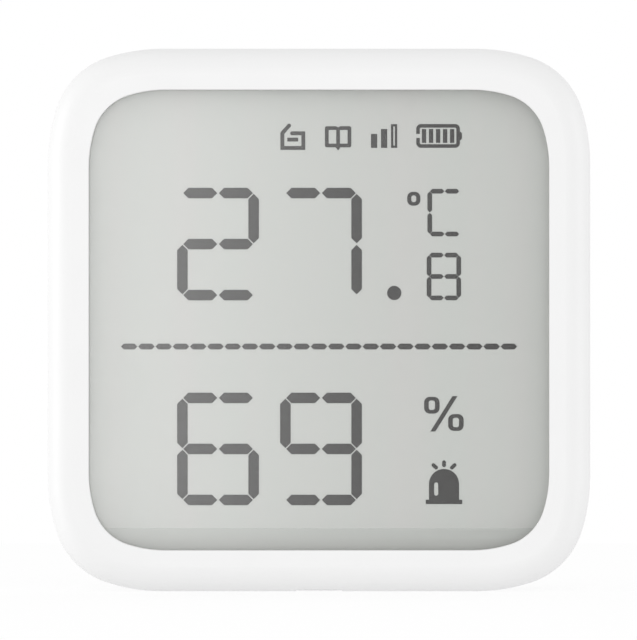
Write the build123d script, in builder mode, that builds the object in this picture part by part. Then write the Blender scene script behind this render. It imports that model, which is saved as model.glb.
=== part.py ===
from build123d import *
from math import atan2, cos, degrees, radians, sin
import os

# A wireless temperature and humidity sensor with a segment display, standing on its bottom edge.
# Millimetres. X runs to the right seen from the front, Y from the front to the back, Z up.
# The origin is on the flat base, half-way back. Places across the face are given from its centre.

# Body
body_width = 70.0
body_height = 70.0
body_depth = 24.0
front_shell_depth = 18.0
side_wall = 2.0
bezel_wall = 1.1
rear_wall = 2.2
front_edge_radius = 3.2
rear_edge_radius = 2.6
parting_chamfer = 0.3

# A corner is a wide shoulder arc, a tight core arc and a second shoulder arc, all tangent
body_shoulder_radius = 23.4
body_core_radius = 10.1
body_shoulder_angle = 17.8
screen_shoulder_radius = 16.2
screen_core_radius = 6.6
screen_shoulder_angle = 17.5

# Screen opening
bezel_width = 5.36
opening_edge_radius = 0.15

# Joint between the two shells
lip_wall = 1.0
lip_length = 2.5
lip_clearance = 0.1
snap_width = 6.0
snap_length = 1.0
snap_height = 0.35
snap_spacing = 26.0
snap_setback = 1.3

# Air inlet under the front edge
inlet_width = 6.2
inlet_rise = 0.9
inlet_setback = 2.0
inlet_length = 5.3
inlet_slot_width = 0.9
inlet_slot_length = 2.8
inlet_slot_pitch = 1.6
inlet_slot_count = 3
inlet_slot_setback = 2.2
membrane_thickness = 0.2
membrane_margin = 0.7
inlet_room_height = 1.35

# Display window and its adhesive
window_overlap = 1.6
window_thickness = 0.6
adhesive_thickness = 0.15
adhesive_setback = 0.3

# Liquid crystal cell
cell_air_gap = 0.1
polarizer_thickness = 0.15
film_gap = 0.02
glass_thickness = 0.4
crystal_gap = 0.05
mark_thickness = 0.03
reflector_thickness = 0.25
glass_overlap = 1.1
glass_corner_cut = 3.8
polarizer_setback = 0.5
contact_ledge = 2.75
seal_width = 0.8
seal_setback = 0.15
rear_glass_below_polarizer = 1.1

# Display frame and contact strip
frame_clearance = 0.25
frame_front_gap = 0.1
frame_seat_gap = 0.05
pocket_clearance = 0.1
frame_web = 2.0
frame_pin_radius = 0.7
frame_pin_length = 1.8
frame_pin_side_inset = 6.5
frame_pin_end_inset = 17.0
strip_height = 2.0
strip_end_setback = 3.8
strip_clearance = 0.1

# Circuit board
board_thickness = 1.2
board_clearance = 0.9
board_hole_clearance = 0.1
sensor_notch_width = 7.0
sensor_notch_height = 1.2

# Posts and board screws
post_radius = 2.2
post_side_inset = 5.1
post_tray_gap = 0.6
post_top_inset = 11.0
board_rest_radius = 1.5
board_rest_x = 12.0
screw_radius = 0.9
screw_length = 6.0
screw_head_radius = 1.7
screw_head_height = 1.3
screw_bore_clearance = 0.05
screw_head_clearance = 0.4
screw_tip_gap = 0.5
screw_drive_radius = 1.0
screw_drive_width = 0.45
screw_drive_depth = 0.7

# Batteries: two cells of the AAA size
cell_radius = 5.25
cell_body_length = 43.3
cell_nub_radius = 1.9
cell_nub_length = 1.2
cell_edge_radius = 0.5
cell_pitch = 11.2
cell_side_gap = 0.25
contact_thickness = 0.3
contact_width = 8.0
contact_height = 9.0
contact_tail_width = 1.6
contact_slot_clearance = 0.2
contact_dimple_radius = 2.2
contact_dimple_length = 1.8
contact_spring_length = 3.6
contact_spring_radius = 3.1
contact_spring_tip_radius = 2.1
contact_spring_turns = 3.0
contact_wire_radius = 0.35
contact_wire_sink = 0.1
contact_tip_gap = 0.03
contact_corner_radius = 0.8
contact_dimple_taper = 15.0
contact_tail_root = 1.0
tail_gap = 0.1

# Battery tray and door
tray_wall = 1.6
tray_floor = 1.0
tray_floor_gap = 4.05
tray_base_inset = 7.6
saddle_width = 1.6
saddle_height = 2.4
saddle_end_gap = 5.0
door_thickness = 1.5
door_ledge = 1.25
door_gap = 0.25
door_seat_gap = 0.1
door_corner_radius = 1.4
door_edge_chamfer = 0.3
door_notch_radius = 9.0
door_notch_height = 3.0
door_notch_depth = 0.8
door_grip_count = 3
door_grip_pitch = 1.5
door_grip_width = 12.0
door_grip_height = 0.7
door_grip_depth = 0.4
door_grip_inset = 4.2
tab_x = 14.0
tab_width = 6.0
tab_thickness = 1.15
tab_reach = 1.3
tab_root = 1.2
tab_play = 0.15
tab_slot_play = 0.5
tab_slot_side_play = 0.3
blade_x = 12.0
blade_width = 5.0
blade_thickness = 0.9
blade_length = 2.0
blade_gap = 0.35

# Wall bracket and its recess
land = 2.0
recess_top_inset = 4.6
recess_depth = 3.0
recess_floor = 1.6
recess_corner_radius = 2.0
bracket_side_inset = 15.0
bracket_gap = 0.3
bracket_seat_gap = 0.15
bracket_proud = 0.3
bracket_travel = 5.0
bracket_corner_radius = 1.6
bracket_chamfer = 0.4
tongue_width = 1.5
tongue_thickness = 1.3
tongue_length = 4.2
tongue_gap = 0.15
tongue_inset = 6.2
tongue_side_gap = 0.3
lip_side_gap = 0.25
wall_hole_radius = 2.0
wall_hole_inset = 6.0
wall_head_radius = 3.75
wall_head_depth = 1.9

# Tamper plunger
plunger_radius = 1.5
plunger_clearance = 0.1
plunger_travel = 1.5
stop_gap = 0.1
plunger_proud = 1.2
plunger_flange_radius = 2.7
plunger_flange_thickness = 1.0
plunger_guide_radius = 3.2
plunger_guide_length = 1.9
plunger_slot_gap = 0.4
plunger_tip_radius = 0.5
plunger_spring_radius = 2.15
plunger_spring_wire = 0.22
plunger_spring_turns = 4.0

# Enrol button
button_radius = 2.5
button_clearance = 0.1
button_recess = 0.2
button_travel = 0.4
button_side_inset = 7.5
button_top_inset = 23.0
button_flange_radius = 3.3
button_flange_thickness = 1.0
button_stem_radius = 1.5
button_guide_radius = 3.8
button_guide_length = 1.3
button_edge_radius = 0.4

# Switches on the board
switch_size = 6.0
switch_height = 3.5
switch_cap_radius = 1.6
switch_cap_height = 1.2
switch_corner_radius = 0.5

# Other parts on the board, placed down from the body's top edge
controller_size = 10.0
controller_height = 1.4
controller_x = -13.0
controller_top_inset = 14.0
controller_leg_count = 12
controller_leg_pitch = 0.7
controller_leg_length = 1.0
controller_leg_width = 0.32
controller_leg_thickness = 0.25
crystal_length = 11.0
crystal_width = 4.6
crystal_height = 3.5
crystal_x = -13.0
crystal_top_inset = 27.0
radio_width = 15.0
radio_height = 11.5
radio_board_thickness = 0.8
radio_x = 14.5
radio_top_inset = 17.0
shield_inset = 1.0
shield_thickness = 2.2
shield_corner_radius = 0.8
antenna_radius = 2.3
antenna_wire_radius = 0.4
antenna_turns = 8.0
antenna_length = 16.0
antenna_x = 5.0
antenna_top_inset = 6.8
capacitor_radius = 3.1
capacitor_height = 5.6
capacitor_foot = 0.8
capacitor_side_inset = 10.5
capacitor_top_inset = 25.0
chip_length = 1.6
chip_width = 0.8
chip_height = 0.7
chip_pitch_x = 3.0
chip_pitch_z = 2.2
chip_columns = 4
chip_rows = 2
chip_group_left = (-13.0, 34.5)
chip_group_right = (14.0, 27.5)
sensor_size = 3.0
sensor_height = 1.0
sensor_rise = 3.0

# Display rows: symbols below the screen's top edge, then the temperature, the divider and the humidity.
# The digits fill the height that the gaps leave.
symbol_drop = 7.44
symbol_gap = 5.15
divider_gap = 5.95
humidity_rise = 3.0

# Display characters: outer width, bar width and half the gap where two bars meet
digit_width = 10.55
digit_bar = 1.36
digit_gap = 0.1
digit_left = -18.3
digit_pitch = 13.28
small_width = 4.43
small_bar = 0.6
small_gap = 0.03
tenths_left = 13.89
unit_left = 13.98
small_top_inset = 0.14
small_bottom_inset = 0.02
small_row_gap = 2.12
point_radius = 0.92
point_x = 9.7
point_rise = 0.96

# Display signs: places are across the face and below the top of the digits beside them
degree_size = (1.69, 1.79)
degree_hole = (0.63, 0.88)
degree_place = (12.22, 1.41)
percent_ring_size = (1.99, 2.16)
percent_ring_hole = (0.81, 1.23)
percent_ring_places = ((14.55, 1.62), (17.65, 3.85))
percent_slash_low = (14.68, 5.01)
percent_slash_high = (17.53, 0.45)
percent_slash_width = 0.64
ring_outer_round = 0.72
ring_hole_round = 0.3
dash_count = 23
dash_length = 2.13
dash_pitch = 2.226
dash_height = 0.75

# Display symbols: places are across the face and above the symbols' base line
lid_stroke = 0.5
lid_points = ((-3.86, 2.88), (-4.73, 1.9), (-4.73, -0.01), (-2.03, -0.01), (-2.03, 1.88), (-3.48, 1.88))
lid_dash_place = (-3.4, 1.07)
lid_dash_size = (1.4, 0.5)
book_place = (2.46, 1.43)
book_size = (3.4, 2.72)
book_stroke = 0.48
book_corner = 0.16
book_notch = (0.24, 0.16)
book_nub = (0.3, 0.42)
bar_width = 0.8
bar_left = 7.1
bar_pitch = 1.29
bar_low_height = 1.8
bar_step = 0.63
bar_count = 3
bar_outline = 0.3
charge_place = (15.355, 1.54)
charge_size = (5.63, 3.06)
charge_stroke = 0.46
charge_round = 0.62
charge_hole_round = 0.2
charge_break = 0.52
charge_nub = (0.26, 1.08)
charge_nub_corner = 0.18
charge_bar = (0.56, 1.79)
charge_bar_pitch = 0.906
charge_bar_count = 5

# Siren sign: heights are above its foot
siren_x = 16.12
siren_rise = 0.15
siren_foot = (4.7, 0.56)
siren_radius = 1.94
siren_height = 4.53
siren_slot = (0.52, 1.7)
siren_slot_place = (15.11, 1.94)
siren_ray = 0.48
siren_ray_centre = ((16.12, 5.4), (16.12, 5.0))
siren_ray_side = ((17.49, 5.03), (17.14, 4.7))

# Depths, from the front to the back
front_y = -body_depth / 2
rear_y = body_depth / 2
parting_y = front_y + front_shell_depth
bezel_back = front_y + bezel_wall
window_front = bezel_back + adhesive_thickness
window_back = window_front + window_thickness
polarizer_front = window_back + cell_air_gap
polarizer_back = polarizer_front + polarizer_thickness
front_glass_front = polarizer_back + film_gap
front_glass_back = front_glass_front + glass_thickness
rear_glass_front = front_glass_back + crystal_gap
rear_glass_back = rear_glass_front + glass_thickness
reflector_back = rear_glass_back + reflector_thickness
web_front = reflector_back + frame_seat_gap
board_front = web_front + frame_web
board_back = board_front + board_thickness
tray_floor_front = board_back + tray_floor_gap
tray_floor_back = tray_floor_front + tray_floor
cell_axis_y = tray_floor_back + cell_side_gap + cell_radius
rear_wall_front = rear_y - rear_wall
door_seat = rear_y - door_thickness - door_seat_gap
recess_y = rear_y - recess_depth
recess_floor_front = recess_y - recess_floor

# Half sizes across the face
half_width = body_width / 2
half_height = body_height / 2
screen_half_width = half_width - bezel_width
screen_half_height = half_height - bezel_width
glass_half_width = screen_half_width + glass_overlap
glass_half_height = screen_half_height + glass_overlap
polarizer_bottom = contact_ledge - screen_half_height
rear_glass_bottom = polarizer_bottom - rear_glass_below_polarizer

# Rows of the display
symbol_base = screen_half_height - symbol_drop
temperature_top = symbol_base - symbol_gap
humidity_bottom = polarizer_bottom + humidity_rise
digit_height = (temperature_top - humidity_bottom) / 2 - divider_gap
temperature_bottom = temperature_top - digit_height
humidity_top = humidity_bottom + digit_height
divider_z = (temperature_bottom + humidity_top) / 2
small_height = (digit_height - small_top_inset - small_bottom_inset - small_row_gap) / 2
unit_letter_top = temperature_top - small_top_inset
tenths_top = temperature_bottom + small_bottom_inset + small_height
siren_base = humidity_bottom + siren_rise

# Inside of the shells
rear_inset = side_wall + lip_clearance + lip_wall
post_x = half_width - post_side_inset
post_high_z = half_height - post_top_inset

# Battery tray, measured up from the base and across the cells
tray_length = cell_body_length + cell_nub_length + contact_spring_length
tray_length += contact_dimple_length + 2 * contact_thickness
tray_half = tray_length / 2
tray_bottom = tray_base_inset - half_height
tray_top = tray_bottom + cell_pitch + 2 * cell_radius + 2 * cell_side_gap
tray_centre_z = (tray_bottom + tray_top) / 2
post_low_z = tray_top + tray_wall + post_tray_gap + post_radius
cell_low_z = tray_centre_z - cell_pitch / 2
cell_high_z = tray_centre_z + cell_pitch / 2
doorway_half = tray_half + door_ledge
doorway_bottom = tray_bottom - door_ledge
doorway_top = tray_top + door_ledge
door_half = doorway_half - door_gap
door_bottom = doorway_bottom + door_gap
door_top = doorway_top - door_gap

# Wall bracket recess, from the land over the door to just under the top edge
recess_bottom = doorway_top + land
recess_top = half_height - recess_top_inset
bracket_half = half_width - bracket_side_inset
recess_half = bracket_half + tongue_width + tongue_side_gap
bracket_top = recess_top - bracket_gap
bracket_bottom = recess_bottom + bracket_gap + bracket_travel
bracket_centre_z = (bracket_top + bracket_bottom) / 2
bracket_front = recess_y + bracket_seat_gap
bracket_back = rear_y + bracket_proud
tongue_zs = (bracket_bottom + tongue_inset, bracket_top - tongue_inset)
plunger_z = bracket_centre_z - bracket_travel / 2
button_x = half_width - button_side_inset
button_z = half_height - button_top_inset
sensor_z = side_wall + board_clearance + sensor_rise - half_height
controller_z = half_height - controller_top_inset
crystal_z = half_height - crystal_top_inset
radio_z = half_height - radio_top_inset
capacitor_x = capacitor_side_inset - half_width
capacitor_z = half_height - capacitor_top_inset

snap_y = parting_y - snap_setback
snap_x = half_width - side_wall
snap_z = half_height - side_wall
snap_sides = [(side * snap_x, end * snap_spacing / 2) for side in (-1, 1) for end in (-1, 1)]
snap_ends = [(side * snap_spacing / 2, end * snap_z) for side in (-1, 1) for end in (-1, 1)]


def slice_at(y):
    """The plane across the body at depth y, seen from the front: x right and y up from the face's centre."""
    return Plane(origin=(0, y, half_height), x_dir=(1, 0, 0), z_dir=(0, -1, 0))


def side_at(x):
    """The plane along the body at place x, seen from the right: x back and y up from the face's centre."""
    return Plane(origin=(x, 0, half_height), x_dir=(0, 1, 0), z_dir=(1, 0, 0))


def rounded_face(face_half_width, face_half_height, shoulder, core, angle, inset):
    """A face with shoulder, core and shoulder arcs at each corner, drawn inset from its edge."""
    shoulder -= inset
    core -= inset
    turn = radians(angle)
    reach = shoulder * (1 - cos(turn) + sin(turn)) + core * (cos(turn) - sin(turn))
    right = face_half_width - inset
    top = face_half_height - inset
    with BuildSketch() as face:
        with BuildLine():
            Line((0, top), (right - reach, top))
            first = JernArc((right - reach, top), (1, 0), shoulder, -angle)
            second = JernArc(first @ 1, first % 1, core, 2 * angle - 90)
            third = JernArc(second @ 1, second % 1, shoulder, -angle)
            Line(third @ 1, (right, 0))
            mirror(about=Plane.YZ)
            mirror(about=Plane.XZ)
        make_face()
    return face.sketch


def body_face(inset=0.0):
    """The outline of the body."""
    return rounded_face(
        half_width, half_height, body_shoulder_radius, body_core_radius, body_shoulder_angle, inset
    )


def screen_face(inset=0.0):
    """The outline of the screen opening."""
    return rounded_face(
        screen_half_width,
        screen_half_height,
        screen_shoulder_radius,
        screen_core_radius,
        screen_shoulder_angle,
        inset,
    )


def glass_face(inset=0.0, bottom=None):
    """The outline of a display layer, with cut corners; bottom is its lower edge where it ends higher."""
    right = glass_half_width - inset
    top = glass_half_height - inset
    with BuildSketch() as face:
        Rectangle(2 * right, 2 * top)
        chamfer(face.vertices(), length=glass_corner_cut)
        if bottom is not None:
            with Locations((0, bottom)):
                Rectangle(4 * right, 2 * top, align=(Align.CENTER, Align.MAX), mode=Mode.SUBTRACT)
    return face.sketch


def write(builder, name):
    """Label one finished piece and save it."""
    builder.part.label = name
    export_step(builder.part, f"parts/{name}.step")


os.makedirs("parts", exist_ok=True)


def snap_face(grow):
    """The snap beads between the two shells, as seen from the front; grow makes room round them."""
    with BuildSketch() as face:
        with Locations(*snap_sides):
            Rectangle(2 * (snap_height + grow), snap_width + 2 * grow)
        with Locations(*snap_ends):
            Rectangle(snap_width + 2 * grow, 2 * (snap_height + grow))
    return face.sketch


# Front housing: bezel and deep skirt in one shell
inlet_front = front_y + inlet_setback
inlet_back = inlet_front + inlet_length
inlet_arc_radius = ((inlet_width / 2) ** 2 + inlet_rise**2) / (2 * inlet_rise)
inlet_slot_y = inlet_front + inlet_slot_setback + inlet_slot_length / 2

with BuildPart() as front_housing:
    with BuildSketch(slice_at(parting_y)):
        add(body_face())
    extrude(amount=front_shell_depth)
    fillet(front_housing.faces().sort_by(Axis.Y)[0].edges(), radius=front_edge_radius)
    chamfer(front_housing.faces().sort_by(Axis.Y)[-1].edges(), length=parting_chamfer)
    with BuildSketch(slice_at(parting_y)):
        add(body_face(side_wall))
    extrude(amount=parting_y - bezel_back, mode=Mode.SUBTRACT)
    with BuildSketch(slice_at(bezel_back)):
        add(screen_face())
    extrude(amount=bezel_wall, mode=Mode.SUBTRACT)
    front_face = front_housing.faces().filter_by(Axis.Y).sort_by(Axis.Y)[0]
    fillet(front_face.inner_wires()[0].edges(), radius=opening_edge_radius)
    with BuildSketch(slice_at(inlet_back)):
        with Locations((0, inlet_rise - inlet_arc_radius - half_height)):
            Circle(inlet_arc_radius)
    extrude(amount=inlet_length, mode=Mode.SUBTRACT)
    with BuildSketch(Plane.XY):
        with Locations((0, inlet_slot_y)):
            with GridLocations(inlet_slot_pitch, 0, inlet_slot_count, 1):
                SlotOverall(inlet_slot_length, inlet_slot_width, rotation=90)
    extrude(amount=side_wall, mode=Mode.SUBTRACT)
    with BuildSketch(slice_at(snap_y + snap_length / 2 + lip_clearance)):
        add(snap_face(lip_clearance))
    extrude(amount=snap_length + 2 * lip_clearance, mode=Mode.SUBTRACT)
write(front_housing, "front_housing")

# Membrane glued over the air inlet, inside the bottom wall
membrane_size = (
    inlet_slot_pitch * (inlet_slot_count - 1) + inlet_slot_width + 2 * membrane_margin,
    inlet_slot_length + 2 * membrane_margin,
)
with BuildPart() as inlet_membrane:
    with BuildSketch(Plane.XY.offset(side_wall)):
        with Locations((0, inlet_slot_y)):
            Rectangle(*membrane_size)
    extrude(amount=membrane_thickness)
write(inlet_membrane, "inlet_membrane")

# Display window and the adhesive that holds it behind the bezel
with BuildPart() as display_window:
    with BuildSketch(slice_at(window_back)):
        add(screen_face(-window_overlap))
    extrude(amount=window_thickness)
write(display_window, "display_window")

with BuildPart() as window_adhesive:
    with BuildSketch(slice_at(window_front)):
        add(screen_face(-window_overlap))
        add(screen_face(-adhesive_setback), mode=Mode.SUBTRACT)
    extrude(amount=adhesive_thickness)
write(window_adhesive, "window_adhesive")

# Liquid crystal cell, from its front film to its reflector
with BuildPart() as front_polarizer:
    with BuildSketch(slice_at(polarizer_back)):
        add(glass_face(polarizer_setback, polarizer_bottom))
    extrude(amount=polarizer_thickness)
write(front_polarizer, "front_polarizer")

with BuildPart() as front_glass:
    with BuildSketch(slice_at(front_glass_back)):
        add(glass_face())
    extrude(amount=glass_thickness)
write(front_glass, "front_glass")

with BuildPart() as cell_seal:
    with BuildSketch(slice_at(rear_glass_front)):
        add(glass_face(seal_setback, rear_glass_bottom + seal_setback))
        seal_inner = seal_setback + seal_width
        add(glass_face(seal_inner, rear_glass_bottom + seal_inner), mode=Mode.SUBTRACT)
    extrude(amount=crystal_gap)
write(cell_seal, "cell_seal")

with BuildPart() as rear_glass:
    with BuildSketch(slice_at(rear_glass_back)):
        add(glass_face(0, rear_glass_bottom))
    extrude(amount=glass_thickness)
write(rear_glass, "rear_glass")

with BuildPart() as reflector:
    with BuildSketch(slice_at(reflector_back)):
        add(glass_face(polarizer_setback, polarizer_bottom))
    extrude(amount=reflector_thickness)
write(reflector, "reflector")

# The bars of a character, each from node to node.
# A node is a column (left, centre, right) and a row (top, middle, bottom).
CHARACTER_BARS = {
    "a": ("lt ct", "ct rt"),
    "b": ("rm rt",),
    "c": ("rb rm",),
    "d": ("lb cb", "cb rb"),
    "e": ("lb lm",),
    "f": ("lm lt",),
    "g": ("lm cm", "cm rm"),
}
CHARACTERS = {"2": "abdeg", "7": "abc", "8": "abcdefg", "6": "acdefg", "9": "abcdfg", "C": "adef"}


def pointed_bar(start, end, width, gap):
    """One display bar from node to node, pointed at both ends and stopping short of each node."""
    with BuildSketch() as bar:
        (x0, z0), (x1, z1) = start, end
        half = width / 2
        with BuildLine():
            if z0 == z1:
                Polyline(
                    (x0 + gap, z0),
                    (x0 + gap + half, z0 + half),
                    (x1 - gap - half, z0 + half),
                    (x1 - gap, z0),
                    (x1 - gap - half, z0 - half),
                    (x0 + gap + half, z0 - half),
                    close=True,
                )
            else:
                Polyline(
                    (x0, z0 + gap),
                    (x0 + half, z0 + gap + half),
                    (x0 + half, z1 - gap - half),
                    (x0, z1 - gap),
                    (x0 - half, z1 - gap - half),
                    (x0 - half, z0 + gap + half),
                    close=True,
                )
        make_face()
    return bar.sketch


def character(text, left, top, width, height, bar, gap):
    """One character of a display, drawn with the bars that it lights."""
    columns = {"l": left + bar / 2, "c": left + width / 2, "r": left + width - bar / 2}
    rows = {"t": top - bar / 2, "m": top - height / 2, "b": top - height + bar / 2}
    with BuildSketch() as face:
        for name in CHARACTERS[text]:
            for nodes in CHARACTER_BARS[name]:
                start, end = [(columns[column], rows[row]) for column, row in nodes.split()]
                add(pointed_bar(start, end, bar, gap))
    return face.sketch


def rounded_ring(place, top, size, hole):
    """A small ring with rounded corners, as in a degree or percent sign, below the top of its row."""
    with BuildSketch() as ring:
        with Locations((place[0], top - place[1])):
            RectangleRounded(*size, ring_outer_round)
            RectangleRounded(*hole, ring_hole_round, mode=Mode.SUBTRACT)
    return ring.sketch


def stroke(points, width):
    """Straight strokes of one width through a list of points, with round ends and joints."""
    with BuildSketch() as line:
        with BuildLine():
            Polyline(*points)
        trace(line_width=width)
        with Locations(*points):
            Circle(width / 2)
    return line.sketch


def cut_block(width, height, corner):
    """A rectangle with its four corners cut off."""
    with BuildSketch() as block:
        Rectangle(width, height)
        chamfer(block.vertices(), length=corner)
    return block.sketch


def triangle(middle, half, drop):
    """A triangle that hangs point down from the middle of its top edge."""
    x, z = middle
    with BuildSketch() as face:
        with BuildLine():
            Polyline((x - half, z), (x, z - drop), (x + half, z), close=True)
        make_face()
    return face.sketch


def book():
    """An open book: two windows either side of its spine, a notch above and a pointed nub below."""
    x, z = book_place
    half = book_size[1] / 2
    with BuildSketch() as face:
        with Locations(book_place):
            add(cut_block(*book_size, book_corner))
            with GridLocations((book_size[0] - book_stroke) / 2, 0, 2, 1):
                Rectangle(
                    (book_size[0] - 3 * book_stroke) / 2, book_size[1] - 2 * book_stroke, mode=Mode.SUBTRACT
                )
        add(triangle((x, z + half), *book_notch), mode=Mode.SUBTRACT)
        add(triangle((x, z - half), *book_nub))
    return face.sketch


def symbol_row():
    """The symbols of the top row, above their base line: open lid, book, signal bars and battery charge."""
    with BuildSketch() as face:
        add(stroke(lid_points, lid_stroke))
        with Locations(lid_dash_place):
            Rectangle(*lid_dash_size)
        add(book())
        for number in range(bar_count):
            height = bar_low_height + number * bar_step
            with Locations((bar_left + number * bar_pitch, height / 2)):
                Rectangle(bar_width, height)
                if number == bar_count - 1:
                    Rectangle(bar_width - 2 * bar_outline, height - 2 * bar_outline, mode=Mode.SUBTRACT)
        with Locations(charge_place):
            RectangleRounded(*charge_size, charge_round)
            charge_hole = (charge_size[0] - 2 * charge_stroke, charge_size[1] - 2 * charge_stroke)
            RectangleRounded(*charge_hole, charge_hole_round, mode=Mode.SUBTRACT)
            with Locations((-charge_size[0] / 2, 0)):
                Rectangle(2 * charge_stroke, charge_break, mode=Mode.SUBTRACT)
            with Locations((charge_size[0] / 2, 0)):
                add(cut_block(2 * charge_nub[0], charge_nub[1], charge_nub_corner))
            with GridLocations(charge_bar_pitch, 0, charge_bar_count, 1):
                Rectangle(*charge_bar)
    return face.sketch


def siren():
    """The siren sign above its foot: a foot, a dome with a shine slot and three rays."""
    dome_centre = siren_height - siren_radius
    with BuildSketch() as face:
        with Locations((siren_x, siren_foot[1] / 2)):
            Rectangle(*siren_foot)
        with Locations((siren_x, dome_centre)):
            Circle(siren_radius)
        with Locations((siren_x, dome_centre / 2)):
            Rectangle(2 * siren_radius, dome_centre)
        with Locations(siren_slot_place):
            SlotOverall(siren_slot[1], siren_slot[0], rotation=90, mode=Mode.SUBTRACT)
        add(stroke(siren_ray_centre, siren_ray))
        add(stroke(siren_ray_side, siren_ray))
        add(stroke(tuple((2 * siren_x - x, z) for x, z in siren_ray_side), siren_ray))
    return face.sketch


# Temperature reading: two digits, a point and the tenths
with BuildPart() as temperature_digits:
    with BuildSketch(slice_at(rear_glass_front)):
        for number, text in enumerate("27"):
            left = digit_left + number * digit_pitch
            add(character(text, left, temperature_top, digit_width, digit_height, digit_bar, digit_gap))
        with Locations((point_x, temperature_bottom + point_rise)):
            Circle(point_radius)
        add(character("8", tenths_left, tenths_top, small_width, small_height, small_bar, small_gap))
    extrude(amount=mark_thickness)
write(temperature_digits, "temperature_digits")

# Humidity reading: two digits
with BuildPart() as humidity_digits:
    with BuildSketch(slice_at(rear_glass_front)):
        for number, text in enumerate("69"):
            left = digit_left + number * digit_pitch
            add(character(text, left, humidity_top, digit_width, digit_height, digit_bar, digit_gap))
    extrude(amount=mark_thickness)
write(humidity_digits, "humidity_digits")

# Unit signs: degrees Celsius and percent
slash_half = percent_slash_width / 2
with BuildPart() as unit_signs:
    with BuildSketch(slice_at(rear_glass_front)):
        add(rounded_ring(degree_place, temperature_top, degree_size, degree_hole))
        add(character("C", unit_left, unit_letter_top, small_width, small_height, small_bar, small_gap))
        for place in percent_ring_places:
            add(rounded_ring(place, humidity_top, percent_ring_size, percent_ring_hole))
        slash_low = humidity_top - percent_slash_low[1]
        slash_high = humidity_top - percent_slash_high[1]
        with BuildLine():
            Polyline(
                (percent_slash_low[0] - slash_half, slash_low),
                (percent_slash_low[0] + slash_half, slash_low),
                (percent_slash_high[0] + slash_half, slash_high),
                (percent_slash_high[0] - slash_half, slash_high),
                close=True,
            )
        make_face()
    extrude(amount=mark_thickness)
write(unit_signs, "unit_signs")

# Dashed line between the two readings
with BuildPart() as divider_dashes:
    with BuildSketch(slice_at(rear_glass_front)):
        for number in range(dash_count):
            centre = (number - (dash_count - 1) / 2) * dash_pitch
            ends = ((centre - dash_length / 2, divider_z), (centre + dash_length / 2, divider_z))
            add(pointed_bar(*ends, dash_height, 0))
    extrude(amount=mark_thickness)
write(divider_dashes, "divider_dashes")

# Status symbols: the top row and the siren
with BuildPart() as status_symbols:
    with BuildSketch(slice_at(rear_glass_front)):
        with Locations((0, symbol_base)):
            add(symbol_row())
        with Locations((0, siren_base)):
            add(siren())
    extrude(amount=mark_thickness)
write(status_symbols, "status_symbols")

# Display frame: a ring round the window and the glass, a web behind them and four locating pins
frame_front = bezel_back + frame_front_gap
strip_half = glass_half_width - strip_end_setback
strip_top = rear_glass_bottom - frame_clearance
strip_centre_z = strip_top - strip_height / 2
screw_places = [(side * post_x, z) for side in (-1, 1) for z in (post_low_z, post_high_z)]
pin_x = half_width - frame_pin_side_inset
pin_z = half_height - frame_pin_end_inset
pin_places = [(side * pin_x, level * pin_z) for side in (-1, 1) for level in (-1, 1)]
inlet_room = membrane_size[0] / 2 + frame_clearance
frame_outer_low = side_wall + frame_clearance - half_height
inlet_room_top = frame_outer_low + inlet_room_height
head_room_radius = screw_head_radius + screw_head_clearance

with BuildPart() as display_frame:
    with BuildSketch(slice_at(board_front)):
        add(body_face(side_wall + frame_clearance))
    extrude(amount=board_front - frame_front)
    with BuildSketch(slice_at(window_back + pocket_clearance)):
        add(screen_face(-window_overlap - pocket_clearance))
    extrude(amount=window_back + pocket_clearance - frame_front, mode=Mode.SUBTRACT)
    with BuildSketch(slice_at(web_front)):
        add(glass_face(-pocket_clearance))
    extrude(amount=web_front - frame_front, mode=Mode.SUBTRACT)
    with BuildSketch(slice_at(board_front)):
        with Locations((0, strip_centre_z)):
            Rectangle(2 * (strip_half + strip_clearance), strip_height + 2 * strip_clearance)
        with Locations(*screw_places):
            Circle(head_room_radius)
    extrude(amount=frame_web, mode=Mode.SUBTRACT)
    with BuildSketch(slice_at(board_front)):
        with Locations((0, (frame_outer_low + inlet_room_top) / 2)):
            Rectangle(2 * inlet_room, inlet_room_top - frame_outer_low)
    extrude(amount=board_front - inlet_slot_y + membrane_size[1] / 2 + frame_clearance, mode=Mode.SUBTRACT)
    with BuildSketch(slice_at(board_front + frame_pin_length)):
        with Locations(*pin_places):
            Circle(frame_pin_radius)
    extrude(amount=frame_pin_length)
write(display_frame, "display_frame")

# Rubber contact strip between the board and the ledge of the front glass
with BuildPart() as contact_strip:
    with BuildSketch(slice_at(board_front)):
        with Locations((0, strip_centre_z)):
            Rectangle(2 * strip_half, strip_height)
    extrude(amount=board_front - front_glass_back)
write(contact_strip, "contact_strip")

# Circuit board
board_low = side_wall + board_clearance - half_height
tail_hole = (contact_thickness + 2 * contact_slot_clearance, contact_tail_width + 2 * contact_slot_clearance)
contact_x = tray_half - contact_thickness / 2
tail_places = [(side * contact_x, z) for side in (-1, 1) for z in (cell_low_z, cell_high_z)]

with BuildPart() as main_board:
    with BuildSketch(slice_at(board_back)):
        add(body_face(side_wall + board_clearance))
        with Locations(*screw_places):
            Circle(screw_radius + board_hole_clearance, mode=Mode.SUBTRACT)
        with Locations(*pin_places):
            Circle(frame_pin_radius + board_hole_clearance, mode=Mode.SUBTRACT)
        with Locations(*tail_places):
            Rectangle(*tail_hole, mode=Mode.SUBTRACT)
        with Locations((0, board_low)):
            Rectangle(sensor_notch_width, 2 * sensor_notch_height, mode=Mode.SUBTRACT)
    extrude(amount=board_thickness)
write(main_board, "main_board")


def board_block(place, width, height, thickness):
    """A block standing on the back of the board at a place on the face."""
    with BuildPart() as block:
        with BuildSketch(slice_at(board_back + thickness)):
            with Locations(place):
                Rectangle(width, height)
        extrude(amount=thickness)
    return block.part


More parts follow.
